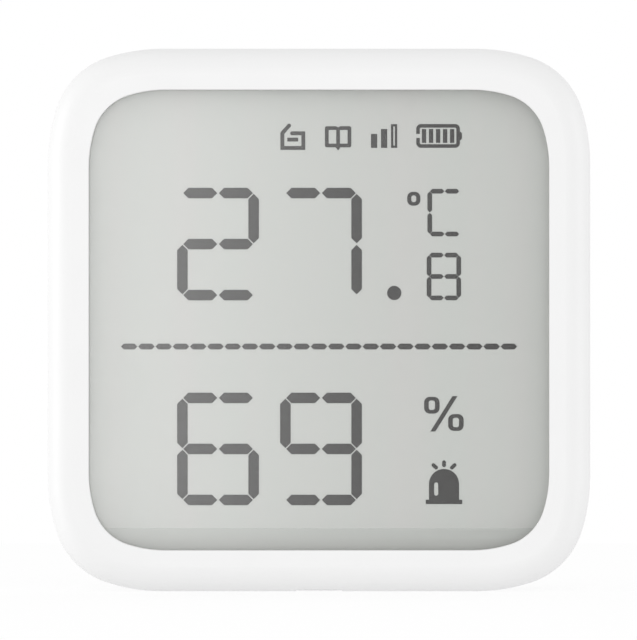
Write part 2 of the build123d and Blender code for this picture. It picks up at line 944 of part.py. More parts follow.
# Controller chip with legs on its four sides
with BuildPart() as controller_chip:
    with BuildSketch(slice_at(board_back + controller_height)):
        with Locations((controller_x, controller_z)):
            Rectangle(controller_size, controller_size)
    extrude(amount=controller_height)
    chamfer(controller_chip.faces().sort_by(Axis.Y)[-1].edges(), length=controller_leg_thickness)
    leg_span = controller_size + 2 * controller_leg_length
    with BuildSketch(slice_at(board_back + controller_leg_thickness)):
        with Locations((controller_x, controller_z)):
            with GridLocations(controller_leg_pitch, 0, controller_leg_count, 1):
                Rectangle(controller_leg_width, leg_span)
            with GridLocations(0, controller_leg_pitch, 1, controller_leg_count):
                Rectangle(leg_span, controller_leg_width)
    extrude(amount=controller_leg_thickness)
write(controller_chip, "controller_chip")

# Clock crystal in its drawn can
with BuildPart() as clock_crystal:
    with BuildSketch(slice_at(board_back + crystal_height)):
        with Locations((crystal_x, crystal_z)):
            SlotOverall(crystal_length, crystal_width)
    extrude(amount=crystal_height)
    fillet(clock_crystal.faces().sort_by(Axis.Y)[-1].edges(), radius=shield_corner_radius / 2)
write(clock_crystal, "clock_crystal")

# Radio module and the metal can over its parts
with BuildPart() as radio_module:
    add(board_block((radio_x, radio_z), radio_width, radio_height, radio_board_thickness))
write(radio_module, "radio_module")

with BuildPart() as radio_shield:
    with BuildSketch(slice_at(board_back + radio_board_thickness + shield_thickness)):
        with Locations((radio_x, radio_z)):
            RectangleRounded(
                radio_width - 2 * shield_inset, radio_height - 2 * shield_inset, shield_corner_radius
            )
    extrude(amount=shield_thickness)
    fillet(radio_shield.faces().sort_by(Axis.Y)[-1].edges(), radius=shield_corner_radius / 2)
write(radio_shield, "radio_shield")


def coil(start, direction, length, radius, turns, wire_radius, tip_radius=None):
    """A coil of round wire that runs from its start point; a tip radius narrows it towards its far end."""
    taper = 0 if tip_radius is None else degrees(atan2(tip_radius - radius, length))
    with BuildPart() as spring:
        with BuildLine() as path:
            Helix(length / turns, length, radius, center=start, direction=direction, cone_angle=taper)
        with BuildSketch(Plane(origin=path.line @ 0, z_dir=path.line % 0)):
            Circle(wire_radius)
        sweep(is_frenet=True)
    return spring.part


# Coil antenna lying along the top of the board
with BuildPart() as antenna_coil:
    antenna_axis_y = board_back + antenna_radius + antenna_wire_radius
    antenna_z = body_height - antenna_top_inset
    antenna_start = (antenna_x, antenna_axis_y, antenna_z)
    add(coil(antenna_start, (1, 0, 0), antenna_length, antenna_radius, antenna_turns, antenna_wire_radius))
write(antenna_coil, "antenna_coil")

# Reservoir capacitor: a can on a square foot
with BuildPart() as reservoir_capacitor:
    with BuildSketch(slice_at(board_back + capacitor_foot)):
        with Locations((capacitor_x, capacitor_z)):
            Rectangle(2 * capacitor_radius, 2 * capacitor_radius)
    extrude(amount=capacitor_foot)
    with BuildSketch(slice_at(board_back + capacitor_height)):
        with Locations((capacitor_x, capacitor_z)):
            Circle(capacitor_radius)
    extrude(amount=capacitor_height - capacitor_foot)
    fillet(reservoir_capacitor.faces().sort_by(Axis.Y)[-1].edges(), radius=shield_corner_radius / 2)
write(reservoir_capacitor, "reservoir_capacitor")

# Small resistors and capacitors in two groups
with BuildPart() as surface_chips:
    with BuildSketch(slice_at(board_back + chip_height)):
        for group in (chip_group_left, chip_group_right):
            with Locations((group[0], half_height - group[1])):
                with GridLocations(chip_pitch_x, chip_pitch_z, chip_columns, chip_rows):
                    Rectangle(chip_length, chip_width)
    extrude(amount=chip_height)
write(surface_chips, "surface_chips")

# Temperature and humidity sensor over the air inlet
with BuildPart() as climate_sensor:
    add(board_block((0, sensor_z), sensor_size, sensor_size, sensor_height))
write(climate_sensor, "climate_sensor")


def push_switch(place):
    """A square push switch on the back of the board, with its round cap."""
    with BuildPart() as switch:
        with BuildSketch(slice_at(board_back + switch_height)):
            with Locations(place):
                RectangleRounded(switch_size, switch_size, switch_corner_radius)
        extrude(amount=switch_height)
        with BuildSketch(slice_at(board_back + switch_height + switch_cap_height)):
            with Locations(place):
                Circle(switch_cap_radius)
        extrude(amount=switch_cap_height)
    return switch.part


with BuildPart() as tamper_switch:
    add(push_switch((0, plunger_z)))
write(tamper_switch, "tamper_switch")

with BuildPart() as enrol_switch:
    add(push_switch((button_x, button_z)))
write(enrol_switch, "enrol_switch")

# Four screws that hold the board to the posts, put in from the front
with BuildPart() as board_screws:
    with BuildSketch(slice_at(board_front)):
        with Locations(*screw_places):
            Circle(screw_head_radius)
    extrude(amount=screw_head_height)
    with BuildSketch(slice_at(board_front + screw_length)):
        with Locations(*screw_places):
            Circle(screw_radius)
    extrude(amount=screw_length)
    with BuildSketch(slice_at(board_front - screw_head_height + screw_drive_depth)):
        with Locations(*screw_places):
            Rectangle(2 * screw_drive_radius, screw_drive_width)
            Rectangle(screw_drive_width, 2 * screw_drive_radius)
    extrude(amount=screw_drive_depth, mode=Mode.SUBTRACT)
write(board_screws, "board_screws")

# Rear housing: shell and lip, battery tray, bracket recess, posts and button guides
shell_front = parting_y - lip_length
tab_back = rear_wall_front - tab_play
tab_front = tab_back - tab_thickness
tab_slot_front = tab_front - tab_slot_play
tab_slot_width = tab_width + 2 * tab_slot_side_play
switch_cap_back = board_back + switch_height + switch_cap_height
button_stop_y = rear_wall_front - button_guide_length
plunger_stop_y = recess_floor_front - plunger_guide_length
lip_front = bracket_front + tongue_thickness + tongue_gap

with BuildPart() as rear_housing:
    with BuildSketch(slice_at(rear_y)):
        add(body_face())
    extrude(amount=rear_y - parting_y)
    fillet(rear_housing.faces().sort_by(Axis.Y)[-1].edges(), radius=rear_edge_radius)
    chamfer(rear_housing.faces().sort_by(Axis.Y)[0].edges(), length=parting_chamfer)
    with BuildSketch(slice_at(parting_y)):
        add(body_face(side_wall + lip_clearance))
    extrude(amount=lip_length)
    with BuildSketch(slice_at(rear_wall_front)):
        add(body_face(rear_inset))
    extrude(amount=rear_wall_front - shell_front, mode=Mode.SUBTRACT)
    with BuildSketch(slice_at(snap_y + snap_length / 2)):
        add(snap_face(0))
    extrude(amount=snap_length)

    # Battery tray with a locating rib between the cells, and the doorway with its ledge
    with BuildSketch(slice_at(rear_wall_front)):
        with Locations((0, tray_centre_z)):
            Rectangle(2 * (tray_half + tray_wall), tray_top - tray_bottom + 2 * tray_wall)
    extrude(amount=rear_wall_front - tray_floor_front)
    with BuildSketch(slice_at(door_seat)):
        with Locations((0, tray_centre_z)):
            Rectangle(2 * tray_half, tray_top - tray_bottom)
    extrude(amount=door_seat - tray_floor_back, mode=Mode.SUBTRACT)
    with BuildSketch(slice_at(rear_y)):
        with Locations((0, tray_centre_z)):
            RectangleRounded(2 * doorway_half, doorway_top - doorway_bottom, door_corner_radius + door_gap)
    extrude(amount=rear_y - door_seat, mode=Mode.SUBTRACT)
    with BuildSketch(slice_at(tray_floor_back + saddle_height)):
        with Locations((0, tray_centre_z)):
            Rectangle(2 * (tray_half - saddle_end_gap), saddle_width)
    extrude(amount=saddle_height)
    with BuildSketch(slice_at(tray_floor_back)):
        with Locations(*tail_places):
            Rectangle(*tail_hole)
    extrude(amount=tray_floor, mode=Mode.SUBTRACT)

    # Slots that the door's tabs hook into
    with BuildSketch(slice_at(rear_wall_front)):
        with Locations((-tab_x, tray_bottom - tray_wall / 2), (tab_x, tray_bottom - tray_wall / 2)):
            Rectangle(tab_slot_width, tray_wall)
    extrude(amount=rear_wall_front - tab_slot_front, mode=Mode.SUBTRACT)
    with BuildSketch(slice_at(door_seat)):
        with Locations((-tab_x, tray_bottom - door_ledge / 2), (tab_x, tray_bottom - door_ledge / 2)):
            Rectangle(tab_slot_width, door_ledge)
    extrude(amount=door_seat - rear_wall_front, mode=Mode.SUBTRACT)

    # Recess for the wall bracket, with lips over the bracket's tongues
    with BuildSketch(slice_at(rear_wall_front)):
        with Locations((0, (tray_top + recess_top + tray_wall) / 2)):
            Rectangle(2 * (recess_half + tray_wall), recess_top + tray_wall - tray_top)
    extrude(amount=rear_wall_front - recess_floor_front)
    with BuildSketch(slice_at(rear_y)):
        with Locations((0, (recess_bottom + recess_top) / 2)):
            RectangleRounded(2 * recess_half, recess_top - recess_bottom, recess_corner_radius)
    extrude(amount=recess_depth, mode=Mode.SUBTRACT)
    with BuildSketch(slice_at(rear_y)):
        for side in (-1, 1):
            for tongue_z in tongue_zs:
                with Locations((side * (recess_half + bracket_half + lip_side_gap) / 2, tongue_z)):
                    Rectangle(recess_half - bracket_half - lip_side_gap, tongue_length)
    extrude(amount=rear_y - lip_front)

    # Posts for the board, and two rests behind its lower half
    with BuildSketch(slice_at(tray_floor_front)):
        with Locations((-board_rest_x, cell_low_z), (board_rest_x, cell_low_z)):
            Circle(board_rest_radius)
    extrude(amount=tray_floor_front - board_back)
    with BuildSketch(slice_at(rear_wall_front)):
        with Locations(*screw_places):
            Circle(post_radius)
    extrude(amount=rear_wall_front - board_back)
    with BuildSketch(slice_at(board_front + screw_length + screw_tip_gap)):
        with Locations(*screw_places):
            Circle(screw_radius + screw_bore_clearance)
    extrude(amount=screw_length + screw_tip_gap, mode=Mode.SUBTRACT)

    # Guides for the tamper plunger and the enrol button
    with BuildSketch(slice_at(recess_floor_front)):
        with Locations((0, plunger_z)):
            Circle(plunger_guide_radius)
    extrude(amount=plunger_guide_length)
    with BuildSketch(slice_at(recess_y)):
        with Locations((0, plunger_z)):
            Circle(plunger_radius + plunger_clearance)
    extrude(amount=recess_y - plunger_stop_y, mode=Mode.SUBTRACT)
    with BuildSketch(slice_at(rear_wall_front)):
        with Locations((button_x, button_z)):
            Circle(button_guide_radius)
    extrude(amount=button_guide_length)
    with BuildSketch(slice_at(rear_y)):
        with Locations((button_x, button_z)):
            Circle(button_radius + button_clearance)
    extrude(amount=rear_y - button_stop_y, mode=Mode.SUBTRACT)
write(rear_housing, "rear_housing")

# Two battery cells, laid in opposite directions
negative_end = tray_half - contact_thickness - contact_spring_length
cell_ends = ((-1, cell_high_z), (1, cell_low_z))
with BuildPart() as battery_cells:
    for side, cell_z in cell_ends:
        with BuildSketch(side_at(side * negative_end)):
            with Locations((cell_axis_y, cell_z)):
                Circle(cell_radius)
        body = extrude(amount=-side * cell_body_length)
        fillet(body.edges().filter_by(GeomType.CIRCLE), radius=cell_edge_radius)
        with BuildSketch(side_at(side * (negative_end - cell_body_length))):
            with Locations((cell_axis_y, cell_z)):
                Circle(cell_nub_radius)
        extrude(amount=-side * cell_nub_length)
write(battery_cells, "battery_cells")


def contact_plate(side, low_z, high_z, tail_zs):
    """An upright contact at one end of the tray, with tails through the tray's floor into the board."""
    tail_front = board_front + tail_gap
    tail_back = tray_floor_back + contact_tail_root
    with BuildPart() as plate:
        with BuildSketch(side_at(side * tray_half)):
            with Locations((tray_floor_back + contact_height / 2, (low_z + high_z) / 2)):
                RectangleRounded(contact_height, high_z - low_z + contact_width, contact_corner_radius)
            for tail_z in tail_zs:
                with Locations((tail_front, tail_z)):
                    Rectangle(
                        tail_back - tail_front, contact_tail_width, align=(Align.MIN, Align.CENTER)
                    )
        extrude(amount=-side * contact_thickness)
    return plate.part


def contact_spring(side, cell_z):
    """The conical spring that presses on a cell's negative end."""
    root = contact_wire_radius - contact_wire_sink
    start = (side * (tray_half - contact_thickness - root), cell_axis_y, half_height + cell_z)
    run = contact_spring_length - root - contact_wire_radius - contact_tip_gap
    return coil(
        start,
        (-side, 0, 0),
        run,
        contact_spring_radius,
        contact_spring_turns,
        contact_wire_radius,
        contact_spring_tip_radius,
    )


def contact_dimple(side, cell_z):
    """The pressed dimple that meets a cell's positive end."""
    with BuildPart() as dimple:
        with BuildSketch(side_at(side * (tray_half - contact_thickness))):
            with Locations((cell_axis_y, cell_z)):
                Circle(contact_dimple_radius)
        extrude(amount=-side * contact_dimple_length, taper=contact_dimple_taper)
    return dimple.part


with BuildPart() as bridge_contact:
    add(contact_plate(-1, cell_low_z, cell_high_z, (cell_low_z, cell_high_z)))
    add(contact_spring(-1, cell_high_z))
    add(contact_dimple(-1, cell_low_z))
write(bridge_contact, "bridge_contact")

with BuildPart() as positive_contact:
    add(contact_plate(1, cell_high_z, cell_high_z, (cell_high_z,)))
    add(contact_dimple(1, cell_high_z))
write(positive_contact, "positive_contact")

with BuildPart() as negative_contact:
    add(contact_plate(1, cell_low_z, cell_low_z, (cell_low_z,)))
    add(contact_spring(1, cell_low_z))
write(negative_contact, "negative_contact")

# Battery door: a plate with two hooked tabs below, two blades above and a thumb scoop
door_front = rear_y - door_thickness
with BuildPart() as battery_door:
    with BuildSketch(slice_at(rear_y)):
        with Locations((0, (door_bottom + door_top) / 2)):
            RectangleRounded(2 * door_half, door_top - door_bottom, door_corner_radius)
    extrude(amount=door_thickness)
    chamfer(battery_door.faces().sort_by(Axis.Y)[-1].edges(), length=door_edge_chamfer)
    with BuildSketch(slice_at(rear_y)):
        with Locations((0, door_top + door_notch_radius - door_notch_height)):
            Circle(door_notch_radius)
    extrude(amount=door_notch_depth, mode=Mode.SUBTRACT)
    with BuildSketch(slice_at(rear_y)):
        with Locations((0, door_top - door_grip_inset - door_grip_pitch * (door_grip_count - 1) / 2)):
            with GridLocations(0, door_grip_pitch, 1, door_grip_count):
                SlotOverall(door_grip_width, door_grip_height)
    extrude(amount=door_grip_depth, mode=Mode.SUBTRACT)
    with BuildSketch(slice_at(door_front)):
        with Locations((-tab_x, door_bottom + tab_root / 2), (tab_x, door_bottom + tab_root / 2)):
            Rectangle(tab_width, tab_root)
    extrude(amount=door_front - tab_back)
    with BuildSketch(slice_at(tab_back)):
        tab_centre_z = door_bottom + (tab_root - tab_reach) / 2
        with Locations((-tab_x, tab_centre_z), (tab_x, tab_centre_z)):
            Rectangle(tab_width, tab_root + tab_reach)
    extrude(amount=tab_thickness)
    with BuildSketch(slice_at(door_front)):
        blade_z = tray_top - blade_gap - blade_thickness / 2
        with Locations((-blade_x, blade_z), (blade_x, blade_z)):
            Rectangle(blade_width, blade_thickness)
    extrude(amount=blade_length)
write(battery_door, "battery_door")

# Wall bracket: a plate with four tongues, two screw holes and a slot for the tamper plunger
with BuildPart() as wall_bracket:
    with BuildSketch(slice_at(bracket_back)):
        with Locations((0, bracket_centre_z)):
            RectangleRounded(2 * bracket_half, bracket_top - bracket_bottom, bracket_corner_radius)
    extrude(amount=bracket_back - bracket_front)
    chamfer(wall_bracket.faces().sort_by(Axis.Y)[-1].edges(), length=bracket_chamfer)
    with BuildSketch(slice_at(bracket_front + tongue_thickness)):
        with Locations(*[(0, tongue_z) for tongue_z in tongue_zs]):
            Rectangle(2 * (bracket_half + tongue_width), tongue_length)
    extrude(amount=tongue_thickness)
    hole_x = bracket_half - wall_hole_inset
    with BuildSketch(slice_at(bracket_back)):
        with Locations((-hole_x, bracket_centre_z), (hole_x, bracket_centre_z)):
            Circle(wall_hole_radius)
        with Locations((0, bracket_centre_z)):
            slot_width = 2 * (plunger_radius + plunger_slot_gap)
            SlotOverall(bracket_travel + slot_width, slot_width, rotation=90)
    extrude(amount=bracket_back - bracket_front, mode=Mode.SUBTRACT)
    with BuildSketch(slice_at(bracket_front + wall_head_depth)):
        with Locations((-hole_x, bracket_centre_z), (hole_x, bracket_centre_z)):
            Circle(wall_head_radius)
    extrude(amount=wall_head_depth, mode=Mode.SUBTRACT)
write(wall_bracket, "wall_bracket")

# Tamper plunger, pushed out through the bracket's slot by its spring
plunger_back = bracket_back + plunger_proud
plunger_front = switch_cap_back + plunger_travel + stop_gap
plunger_flange_back = plunger_stop_y - stop_gap
with BuildPart() as tamper_plunger:
    with BuildSketch(slice_at(plunger_back)):
        with Locations((0, plunger_z)):
            Circle(plunger_radius)
    extrude(amount=plunger_back - plunger_front)
    fillet(tamper_plunger.faces().sort_by(Axis.Y)[-1].edges(), radius=plunger_tip_radius)
    with BuildSketch(slice_at(plunger_flange_back)):
        with Locations((0, plunger_z)):
            Circle(plunger_flange_radius)
    extrude(amount=plunger_flange_thickness)
write(tamper_plunger, "tamper_plunger")

# Spring between the tamper switch and the plunger's flange
with BuildPart() as tamper_spring:
    tamper_spring_start = (0, board_back + switch_height + plunger_spring_wire, half_height + plunger_z)
    tamper_spring_run = plunger_flange_back - plunger_flange_thickness - 2 * plunger_spring_wire
    tamper_spring_run -= board_back + switch_height
    add(
        coil(
            tamper_spring_start,
            (0, 1, 0),
            tamper_spring_run,
            plunger_spring_radius,
            plunger_spring_turns,
            plunger_spring_wire,
        )
    )
write(tamper_spring, "tamper_spring")

# Enrol button: cap, flange and a stem that reaches the switch
button_back = rear_y - button_recess
button_front = switch_cap_back + button_travel + stop_gap
button_flange_back = button_stop_y - stop_gap
with BuildPart() as enrol_button:
    with BuildSketch(slice_at(button_back)):
        with Locations((button_x, button_z)):
            Circle(button_radius)
    extrude(amount=button_back - button_flange_back)
    fillet(enrol_button.faces().sort_by(Axis.Y)[-1].edges(), radius=button_edge_radius)
    with BuildSketch(slice_at(button_flange_back)):
        with Locations((button_x, button_z)):
            Circle(button_flange_radius)
    extrude(amount=button_flange_thickness)
    with BuildSketch(slice_at(button_flange_back - button_flange_thickness)):
        with Locations((button_x, button_z)):
            Circle(button_stem_radius)
    extrude(amount=button_flange_back - button_flange_thickness - button_front)
write(enrol_button, "enrol_button")
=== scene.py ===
import math

import bpy
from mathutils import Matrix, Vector


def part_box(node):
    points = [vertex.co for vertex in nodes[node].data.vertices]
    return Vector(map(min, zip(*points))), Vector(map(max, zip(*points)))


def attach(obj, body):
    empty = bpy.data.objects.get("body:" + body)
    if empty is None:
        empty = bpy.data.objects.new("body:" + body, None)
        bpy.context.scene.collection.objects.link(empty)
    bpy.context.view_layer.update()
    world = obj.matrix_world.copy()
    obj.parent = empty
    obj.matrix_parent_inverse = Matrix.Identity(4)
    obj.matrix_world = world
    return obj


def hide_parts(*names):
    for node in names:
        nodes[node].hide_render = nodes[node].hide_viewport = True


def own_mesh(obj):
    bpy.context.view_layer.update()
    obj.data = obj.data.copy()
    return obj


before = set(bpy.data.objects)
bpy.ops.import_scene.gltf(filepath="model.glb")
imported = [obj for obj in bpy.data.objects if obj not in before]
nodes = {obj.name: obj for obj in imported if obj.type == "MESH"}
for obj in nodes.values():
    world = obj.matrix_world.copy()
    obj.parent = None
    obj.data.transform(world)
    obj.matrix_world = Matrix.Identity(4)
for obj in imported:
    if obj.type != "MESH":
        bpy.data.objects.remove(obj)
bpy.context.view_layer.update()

# The looks, light and camera of a small white sensor with a segment display. Lengths are in metres.
# A texture's scale is about how many lumps, cells or stripes it has to the metre.
MICRON = 0.000001
QUARTER_TURN = math.pi / 2

# Photograph: what its frame spans at the body's outline, and the camera's distance from there
FRAME_HEIGHT = 0.08259
CAMERA_DISTANCE = 1.2
CAMERA_AIM = (-0.00007, 0.035)
BODY_EDGE_Y = -0.0088

# Height of the camera's sensor, in millimetres
SENSOR_HEIGHT = 24.0

# Lamps, with their power in watts
MIDDLE = (0, 0, 0.035)
LAMPS = {
    "key": {"place": (-0.11, -1.3, 0.035), "aim": (-0.11, 0, 0.035), "size": (0.18, 0.5), "power": 1.8},
    "front": {"place": (0.25, -1.1, 0.4), "aim": MIDDLE, "size": (0.5, 0.4), "power": 0.25},
    "left": {"place": (-0.8, -0.18, 0.1), "aim": MIDDLE, "size": (0.5, 0.5), "power": 1.8},
    "right": {"place": (0.8, -0.3, 0.1), "aim": MIDDLE, "size": (0.5, 0.5), "power": 0.9},
}

# World and floor
WORLD_LEVEL = 0.82
SEEN_LEVEL = 1.0
FLOOR_WHITE = (0.97, 0.97, 0.97)
FLOOR_SHADE = (0.22, 0.22, 0.22)
FLOOR_GLOW = 0.8
FLOOR_CLEARNESS = 0.85
FLOOR_SIZE = 0.5
FLOOR_DROP = 30 * MICRON

# Noise: the range that most of its values lie in, and how much detail it has
NOISE_RANGE = (0.3, 0.7)
TEXTURE_DETAIL = 3.0
SLOW_DETAIL = 2.0
FINE_DETAIL = 4.0

# Moulded plastic
WHITE = (0.86, 0.86, 0.86)
GREY = (0.42, 0.43, 0.44)
INNER_WHITE = (0.8, 0.8, 0.79)
HOUSING_ROUGHNESS = 0.42
BUTTON_ROUGHNESS = 0.45
FRAME_ROUGHNESS = 0.5
PLASTIC_IOR = 1.46
PLASTIC_TINT = 0.012
PLASTIC_TINT_SCALE = 55.0
PLASTIC_GRAIN_SCALE = 5200.0
PLASTIC_GRAIN_DEPTH = 3.5 * MICRON
PLASTIC_FLOW_SCALE = 160.0
PLASTIC_FLOW_DEPTH = 4 * MICRON
PLASTIC_GLOSS_SPREAD = 0.04

# Clear sheets: the light that they let through, and the share of their mirror image that shows
CLEAR_IOR = 1.49
WINDOW_TINT = (0.99, 0.99, 0.99)
WINDOW_SHINE = 0.45
WINDOW_ROUGHNESS = 0.16
FILM_TINT = (0.95, 0.955, 0.95)
FILM_ROUGHNESS = 0.3
GLASS_TINT = (0.98, 0.985, 0.98)
GLASS_ROUGHNESS = 0.1
INNER_SHINE = 0.03
SMUDGE_SCALE = 900.0
SMUDGE_SPREAD = 0.02

# Painted shade on the ledge of the front glass, below the film's edge: a darker diffuse colour that stands
# in for the shaded inside seen through the clear glass
LEDGE_PAINTED_SHADE = (0.46, 0.475, 0.452)
LEDGE_SHADE_COVER = 0.9
LEDGE_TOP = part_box("front_polarizer")[0][2]
LEDGE_EDGE_BLUR = 20 * MICRON

# Ground of the display, with faint upright bands
GROUND_ROUGHNESS = 0.6
GROUND_GREEN = (0.594, 0.606, 0.588)
GROUND_RED = (0.61, 0.602, 0.592)
BAND_SCALE = 140.0
BAND_STRETCH = (1.0, 0.02, 0.004)
BAND_RANGE = (0.35, 0.65)
GROUND_GRAIN_SCALE = 4000.0
GROUND_GRAIN_DEPTH = 2 * MICRON

# Other parts of the display
MARK = (0.044, 0.042, 0.041)
SILVER = (0.62, 0.64, 0.61)
SEALANT = (0.5, 0.52, 0.5)
TAPE = (0.8, 0.8, 0.8)
TAPE_PORE_SCALE = 6000.0
TAPE_PORE_DEPTH = 20 * MICRON
STRIP_DARK = (0.1, 0.1, 0.1)
STRIP_PALE = (0.5, 0.42, 0.4)
STRIP_ROUGHNESS = 0.7
STRIP_LAYER_SCALE = 900.0
STRIP_LAYER_DEPTH = 8 * MICRON

# Circuit boards
RESIST = (0.008, 0.085, 0.035)
RESIST_ON_COPPER = (0.02, 0.16, 0.06)
RESIST_ROUGHNESS = 0.28
RESIST_COAT = 0.3
TRACK_SCALE = 420.0
TRACK_GAP = 0.09
TRACK_LENGTH = 1.4
TRACK_WIDTH = 0.35
TRACK_DEPTH = 30 * MICRON
BOARD_GRAIN_SCALE = 1800.0
BOARD_GRAIN_DEPTH = 4 * MICRON

# Parts on the boards
RESIN = (0.022, 0.022, 0.024)
RESIN_GRAIN_SCALE = 6000.0
RESIN_GRAIN_DEPTH = 4 * MICRON
CERAMIC = (0.4, 0.28, 0.18)
TINNED = (0.6, 0.58, 0.55)
CERAMIC_ROUGHNESS = 0.5
CERAMIC_SCALE = 700.0
CERAMIC_RANGE = (0.45, 0.55)
CERAMIC_GRAIN_SCALE = 5000.0
CERAMIC_GRAIN_DEPTH = 3 * MICRON

# Bare metals, with their streaks drawn out along the axis where the factor is small
CAN_STEEL = (0.62, 0.62, 0.6)
BRONZE = (0.72, 0.45, 0.2)
ALUMINIUM = (0.68, 0.68, 0.7)
SCREW_STEEL = (0.45, 0.45, 0.46)
NICKEL = (0.66, 0.65, 0.62)
METAL_TINT = 0.05
METAL_TINT_SCALE = 420.0
STREAK_SCALE = 2600.0
STREAK_DEPTH = 2 * MICRON
STREAK_SMOOTHER = 0.07
STREAK_ROUGHER = 0.09
CAN_STREAK = (1.0, 1.0, 0.05)
CAPACITOR_STREAK = (1.0, 0.05, 1.0)
SCREW_STREAK = (1.0, 0.1, 1.0)
NICKEL_STREAK = (1.0, 0.08, 1.0)

# Woven membrane of the inlet
MEMBRANE = (0.8, 0.8, 0.78)
WEAVE_SCALE = 7000.0
WEAVE_DEPTH = 20 * MICRON

# Battery sleeves: places along a cell are from its middle, towards its positive end
SLEEVE_BLUE = (0.04, 0.09, 0.2)
RING_PALE = (0.7, 0.7, 0.7)
END_STEEL = (0.6, 0.6, 0.58)
SLEEVE_ROUGHNESS = (0.2, 0.32)
SLEEVE_COAT = 0.6
RING_PLACE = 0.0165
RING_HALF_WIDTH = 0.0011
SLEEVE_END_POSITIVE = 0.0213
SLEEVE_END_NEGATIVE = -0.0208
SLEEVE_GLOSS_SCALE = 500.0
SLEEVE_WAVE_SCALE = 350.0
SLEEVE_WAVE_DEPTH = 10 * MICRON


class Graph:
    """The nodes of a material or of the world, added one at a time."""

    # A Mix node has sockets for every kind of value: these are the ones for colours
    MIX_FIRST = 6
    MIX_SECOND = 7
    MIX_RESULT = 2

    def __init__(self, tree):
        self.tree = tree

    def add(self, kind, **values):
        """A new node, with the properties or inputs given by name."""
        node = self.tree.nodes.new(kind)
        for key, value in values.items():
            if hasattr(node, key):
                setattr(node, key, value)
            else:
                node.inputs[key.replace("_", " ")].default_value = value
        return node

    def feed(self, socket, value):
        """Give an input a number, a colour or the output of another node."""
        if isinstance(value, bpy.types.NodeSocket):
            self.tree.links.new(value, socket)
        elif isinstance(value, tuple):
            socket.default_value = (*value, 1)
        else:
            socket.default_value = value

    def maths(self, operation, *values):
        """A sum on sockets or numbers."""
        node = self.add("ShaderNodeMath", operation=operation)
        for socket, value in zip(node.inputs, values):
            self.feed(socket, value)
        return node.outputs[0]

    def remap(self, value, span, to_low=0.0, to_high=1.0):
        """A value moved from the given span to another one, and held inside it."""
        low, high = span
        node = self.add("ShaderNodeMapRange", From_Min=low, From_Max=high, To_Min=to_low, To_Max=to_high)
        self.feed(node.inputs["Value"], value)
        return node.outputs["Result"]

    def mix(self, factor, first, second):
        """A mix of two colours, each a socket or three numbers."""
        node = self.add("ShaderNodeMix", data_type="RGBA")
        self.feed(node.inputs["Factor"], factor)
        self.feed(node.inputs[self.MIX_FIRST], first)
        self.feed(node.inputs[self.MIX_SECOND], second)
        return node.outputs[self.MIX_RESULT]

    def blend(self, factor, first, second):
        """A mix of two shaders."""
        node = self.add("ShaderNodeMixShader")
        for socket, value in zip(node.inputs, (factor, first, second)):
            self.feed(socket, value)
        return node.outputs[0]

    def coloured(self, kind, colour):
        """A simple shader of one colour."""
        return self.add(kind, Color=(*colour, 1)).outputs[0]

    def camera_ray(self):
        """1 on a ray that comes straight from the camera."""
        return self.add("ShaderNodeLightPath").outputs["Is Camera Ray"]

    def seen(self):
        """1 on a ray that shows it, in a mirror or through clear matter too, and 0 on other light."""
        rays = self.add("ShaderNodeLightPath").outputs
        indirect = self.maths("MAXIMUM", rays["Is Glossy Ray"], rays["Is Transmission Ray"])
        return self.maths("MAXIMUM", rays["Is Camera Ray"], indirect)


class Surface(Graph):
    """A node material, built up one texture at a time."""

    def __init__(self, name, colour=(0.8, 0.8, 0.8), roughness=0.5, **values):
        self.material = bpy.data.materials.new(name)
        self.material.use_nodes = True
        super().__init__(self.material.node_tree)
        self.shader = self.tree.nodes["Principled BSDF"]
        self.place = self.add("ShaderNodeTexCoord").outputs["Object"]
        self.height = None
        self.shader.inputs["Base Color"].default_value = (*colour, 1)
        self.shader.inputs["Roughness"].default_value = roughness
        for key, value in values.items():
            self.shader.inputs[key.replace("_", " ")].default_value = value

    def show(self, shader):
        """Show this shader on the surface."""
        self.feed(self.tree.nodes["Material Output"].inputs["Surface"], shader)
        return self

    def stretched(self, factors=(1, 1, 1), turn=(0, 0, 0)):
        """The object's own coordinates, scaled by a factor along each axis, and turned."""
        mapping = self.add("ShaderNodeMapping")
        mapping.inputs["Scale"].default_value = factors
        mapping.inputs["Rotation"].default_value = turn
        self.feed(mapping.inputs["Vector"], self.place)
        return mapping.outputs["Vector"]

    def noise(self, scale, detail=TEXTURE_DETAIL, stretch=None):
        """Noise, drawn out along an axis where its stretch is small."""
        node = self.add("ShaderNodeTexNoise", Scale=scale, Detail=detail)
        self.feed(node.inputs["Vector"], self.stretched(stretch) if stretch else self.place)
        return node.outputs["Fac"]

    def cells(self, scale):
        """A pattern of cells."""
        node = self.add("ShaderNodeTexVoronoi", Scale=scale)
        self.feed(node.inputs["Vector"], self.place)
        return node.outputs["Distance"]

    def axis(self, index):
        """One coordinate of the place."""
        split = self.add("ShaderNodeSeparateXYZ")
        self.feed(split.inputs[0], self.place)
        return split.outputs[index]

    def back_face(self):
        """1 on the back of a face."""
        return self.add("ShaderNodeNewGeometry").outputs["Backfacing"]

    def colour(self, source):
        """Colour the surface."""
        self.feed(self.shader.inputs["Base Color"], source)
        return self

    def speckle(self, base, amount, scale):
        """A colour that varies slightly round its base."""
        low = tuple(part * (1 - amount) for part in base)
        high = tuple(min(1.0, part * (1 + amount)) for part in base)
        return self.colour(self.mix(self.noise(scale), low, high))

    def rough(self, source, low, high):
        """Roughness that follows a noise."""
        self.feed(self.shader.inputs["Roughness"], self.remap(source, NOISE_RANGE, low, high))
        return self

    def bump(self, source, depth):
        """Relief of the given depth, on top of any relief already there."""
        node = self.add("ShaderNodeBump", Distance=depth)
        self.feed(node.inputs["Height"], source)
        if self.height:
            self.feed(node.inputs["Normal"], self.height)
        self.height = node.outputs["Normal"]
        self.feed(self.shader.inputs["Normal"], self.height)
        return self

    def put(self, *names):
        """Give each named CAD node this material."""
        for name in names:
            nodes[name].data.materials.clear()
            nodes[name].data.materials.append(self.material)


